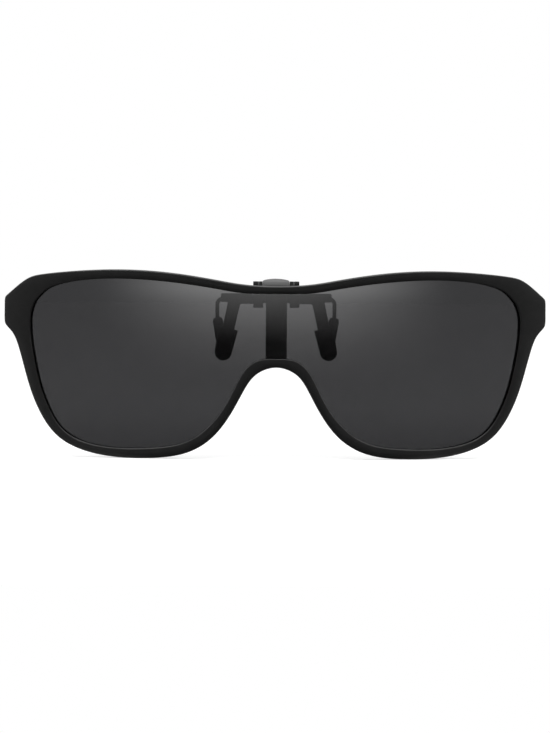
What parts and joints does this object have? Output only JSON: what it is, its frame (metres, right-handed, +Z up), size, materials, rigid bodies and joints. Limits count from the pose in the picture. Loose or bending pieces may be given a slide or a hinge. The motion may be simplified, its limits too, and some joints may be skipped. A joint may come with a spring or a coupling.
{
  "type": "flip-up clip-on sunglasses",
  "caption": "Dark one-piece shield lens in a black wrapped front that flips up on a sprung clip, whose rubber-padded jaws pinch the top of the wearer's own lenses.",
  "frame": {"origin": "between the closed grip pads, on the middle plane of the front, where the wearer's lens is pinched", "axes": "+X to the right seen from the front, +Y back towards the wearer, +Z up"},
  "size_m": [0.145, 0.0146, 0.0501],
  "materials": {
    "moulded_front": "satin black injection moulding",
    "tinted_lens": "polished dark grey polarised sheet",
    "black_steel": "black coated steel",
    "grey_steel": "grey coated steel",
    "spring_steel": "drawn spring wire",
    "nylon": "plain nylon",
    "pad_rubber": "soft black rubber"
  },
  "bodies": {
    "clip": {"front_jaw": "black_steel", "front_pad_left": "pad_rubber", "front_pad_right": "pad_rubber", "hinge_pin": "black_steel", "pin_ring": "black_steel", "friction_washer_left": "nylon", "friction_washer_right": "nylon", "pinch_spring": "spring_steel"},
    "front": {"front_frame": "moulded_front", "lens": "tinted_lens", "hinge_bracket": "black_steel", "bracket_screw_left": "black_steel", "bracket_screw_right": "black_steel"},
    "rear_jaw": {"thumb_lever": "grey_steel", "rear_jaw_wire": "black_steel", "rear_pad_left": "pad_rubber", "rear_pad_right": "pad_rubber"}
  },
  "joints": [
    {"name": "flip", "type": "hinge", "parent": "clip", "child": "front", "pos_m": [0, 0, 0.0159], "axis": [-1, 0, 0], "range_deg": [0, 90]},
    {"name": "pinch", "type": "hinge", "parent": "clip", "child": "rear_jaw", "pos_m": [0, 0, 0.0159], "axis": [1, 0, 0], "range_deg": [0, 22], "stiffness_Nm_per_rad": 0.03, "deforming": ["pinch_spring"]}
  ]
}
